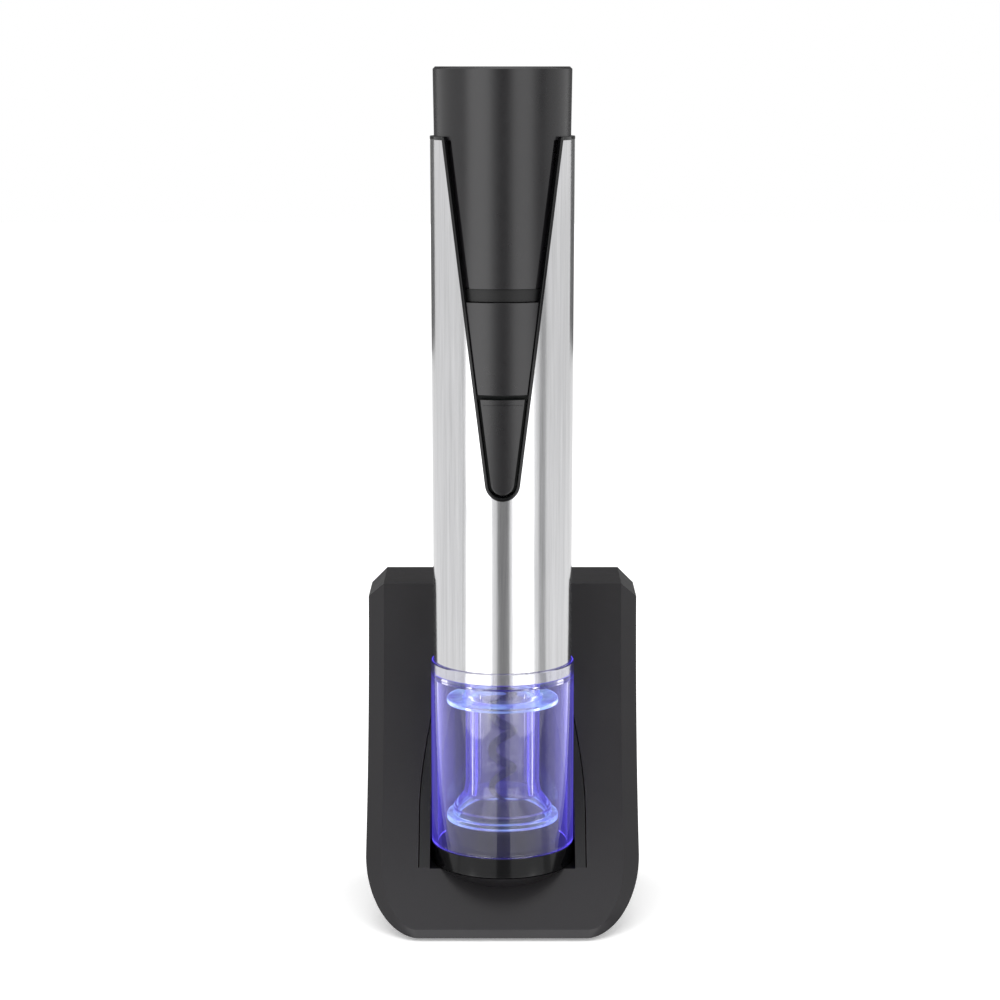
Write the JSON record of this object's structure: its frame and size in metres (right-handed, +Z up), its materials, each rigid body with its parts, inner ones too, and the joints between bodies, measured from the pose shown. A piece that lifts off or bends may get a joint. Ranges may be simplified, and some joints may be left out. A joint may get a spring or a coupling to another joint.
{
  "type": "electric wine opener",
  "caption": "Cordless electric wine opener with a clear cork chamber and a foil cutter, standing in a charging base with a hollow front.",
  "frame": {"origin": "on the table, under the middle of the set's bounding box", "axes": "+Z up along the opener, -Y towards the user and the buttons, +X to the user's right"},
  "size_m": [0.0932, 0.0816, 0.288],
  "materials": {
    "graphite_plastic": "satin moulded plastic, dark graphite",
    "black_plastic": "fine matt moulded plastic",
    "gloss_black": "polished black plastic",
    "brushed_steel": "stainless sheet, brushed along its length",
    "clear_plastic": "clear moulded acrylic",
    "plain_steel": "plated steel",
    "worm_coat": "dark non-stick coat",
    "zinc": "die-cast zinc",
    "brass": "machined brass",
    "board": "glass-fibre circuit board",
    "cell_wrap": "printed battery sleeve",
    "led": "clear epoxy lens",
    "rubber": "soft rubber"
  },
  "bodies": {
    "base": {"base_shell": "graphite_plastic", "cradle_insert": "black_plastic", "bottom_cover": "black_plastic", "rubber_feet": "rubber", "ballast_plate": "plain_steel", "charge_board": "board", "dc_jack": "black_plastic", "pin_holder": "black_plastic", "pin_spring_left": "plain_steel", "pin_spring_right": "plain_steel", "base_screws": "plain_steel"},
    "charge_pin_left": {"charge_pin_left": "brass"},
    "charge_pin_right": {"charge_pin_right": "brass"},
    "opener": {"top_housing": "graphite_plastic", "top_cap": "graphite_plastic", "steel_sleeve": "brushed_steel", "vee_trim": "gloss_black", "chassis_front": "black_plastic", "chassis_rear": "black_plastic", "chassis_screws": "plain_steel", "control_board": "board", "tact_switches": "plain_steel", "battery_cells": "cell_wrap", "battery_holder": "black_plastic", "battery_tabs": "plain_steel", "motor_can": "plain_steel", "motor_mount": "plain_steel", "motor_screws": "plain_steel", "gearbox_case": "zinc", "gearbox_cap": "zinc", "output_bush": "brass", "led_board": "board", "leds": "led", "cork_guide": "clear_plastic", "clear_sleeve": "clear_plastic", "contact_block": "black_plastic", "contact_pads": "brass"},
    "release_button": {"release_button": "graphite_plastic"},
    "drive_button": {"drive_button": "graphite_plastic"},
    "motor_rotor": {"motor_pinion": "plain_steel"},
    "first_carrier": {"carrier_first": "plain_steel"},
    "output": {"carrier_output": "plain_steel", "worm_hub": "black_plastic", "worm": "worm_coat"},
    "first_planet_1": {"planet_first_1": "brass"},
    "first_planet_2": {"planet_first_2": "brass"},
    "first_planet_3": {"planet_first_3": "brass"},
    "second_planet_1": {"planet_second_1": "brass"},
    "second_planet_2": {"planet_second_2": "brass"},
    "second_planet_3": {"planet_second_3": "brass"},
    "foil_cutter": {"cutter_body": "gloss_black", "cutter_plate": "black_plastic", "wheel_pins": "plain_steel"},
    "wheel_1": {"cutting_wheel_1": "plain_steel"},
    "wheel_2": {"cutting_wheel_2": "plain_steel"},
    "wheel_3": {"cutting_wheel_3": "plain_steel"},
    "wheel_4": {"cutting_wheel_4": "plain_steel"}
  },
  "joints": [
    {"name": "opener_lift", "type": "slide", "parent": "base", "child": "opener", "axis": [0, 0, 1], "range_m": [0, 0.15]},
    {"name": "cutter_release", "type": "slide", "parent": "opener", "child": "foil_cutter", "axis": [0, 0, -1], "range_m": [0, 0.09]},
    {"name": "release_press", "type": "slide", "parent": "opener", "child": "release_button", "axis": [0, 1, 0], "range_m": [0, 0.0008], "stiffness_N_per_m": 1500},
    {"name": "drive_press", "type": "slide", "parent": "opener", "child": "drive_button", "axis": [0, 1, 0], "range_m": [0, 0.0008], "stiffness_N_per_m": 1500},
    {"name": "pin_press_left", "type": "slide", "parent": "base", "child": "charge_pin_left", "axis": [0, 1, 0], "range_m": [0, 0.001], "stiffness_N_per_m": 400, "deforming": ["pin_spring_left"]},
    {"name": "pin_press_right", "type": "slide", "parent": "base", "child": "charge_pin_right", "axis": [0, 1, 0], "range_m": [0, 0.001], "stiffness_N_per_m": 400, "deforming": ["pin_spring_right"]},
    {"name": "worm_spin", "type": "hinge", "parent": "opener", "child": "output", "pos_m": [0, -0.012, 0.08], "axis": [0, 0, 1], "continuous": true},
    {"name": "first_carrier_spin", "type": "hinge", "parent": "opener", "child": "first_carrier", "pos_m": [0, -0.012, 0.107], "axis": [0, 0, 1], "continuous": true},
    {"name": "motor_spin", "type": "hinge", "parent": "opener", "child": "motor_rotor", "pos_m": [0, -0.012, 0.13], "axis": [0, 0, 1], "continuous": true},
    {"name": "second_planet_1_spin", "type": "hinge", "parent": "output", "child": "second_planet_1", "pos_m": [0.009, -0.012, 0.1016], "axis": [0, 0, 1], "continuous": true},
    {"name": "second_planet_2_spin", "type": "hinge", "parent": "output", "child": "second_planet_2", "pos_m": [-0.0045, -0.00421, 0.1016], "axis": [0, 0, 1], "continuous": true},
    {"name": "second_planet_3_spin", "type": "hinge", "parent": "output", "child": "second_planet_3", "pos_m": [-0.0045, -0.01979, 0.1016], "axis": [0, 0, 1], "continuous": true},
    {"name": "first_planet_1_spin", "type": "hinge", "parent": "first_carrier", "child": "first_planet_1", "pos_m": [0.009, -0.012, 0.1118], "axis": [0, 0, 1], "continuous": true},
    {"name": "first_planet_2_spin", "type": "hinge", "parent": "first_carrier", "child": "first_planet_2", "pos_m": [-0.0045, -0.00421, 0.1118], "axis": [0, 0, 1], "continuous": true},
    {"name": "first_planet_3_spin", "type": "hinge", "parent": "first_carrier", "child": "first_planet_3", "pos_m": [-0.0045, -0.01979, 0.1118], "axis": [0, 0, 1], "continuous": true},
    {"name": "wheel_1_spin", "type": "hinge", "parent": "foil_cutter", "child": "wheel_1", "pos_m": [0.01259, 0.00059, 0.0234], "axis": [0, 0, 1], "continuous": true},
    {"name": "wheel_2_spin", "type": "hinge", "parent": "foil_cutter", "child": "wheel_2", "pos_m": [-0.01259, 0.00059, 0.0234], "axis": [0, 0, 1], "continuous": true},
    {"name": "wheel_3_spin", "type": "hinge", "parent": "foil_cutter", "child": "wheel_3", "pos_m": [-0.01259, -0.02459, 0.0234], "axis": [0, 0, 1], "continuous": true},
    {"name": "wheel_4_spin", "type": "hinge", "parent": "foil_cutter", "child": "wheel_4", "pos_m": [0.01259, -0.02459, 0.0234], "axis": [0, 0, 1], "continuous": true}
  ],
  "couplings": [
    {"joint": "cutter_release", "follows": "opener_lift", "ratio": 0.6},
    {"joint": "first_carrier_spin", "follows": "worm_spin", "ratio": 6},
    {"joint": "motor_spin", "follows": "worm_spin", "ratio": 36},
    {"joint": "second_planet_1_spin", "follows": "worm_spin", "ratio": -2.5},
    {"joint": "second_planet_2_spin", "follows": "worm_spin", "ratio": -2.5},
    {"joint": "second_planet_3_spin", "follows": "worm_spin", "ratio": -2.5},
    {"joint": "first_planet_1_spin", "follows": "worm_spin", "ratio": -15},
    {"joint": "first_planet_2_spin", "follows": "worm_spin", "ratio": -15},
    {"joint": "first_planet_3_spin", "follows": "worm_spin", "ratio": -15},
    {"joint": "wheel_2_spin", "follows": "wheel_1_spin", "ratio": 1},
    {"joint": "wheel_3_spin", "follows": "wheel_1_spin", "ratio": 1},
    {"joint": "wheel_4_spin", "follows": "wheel_1_spin", "ratio": 1}
  ]
}
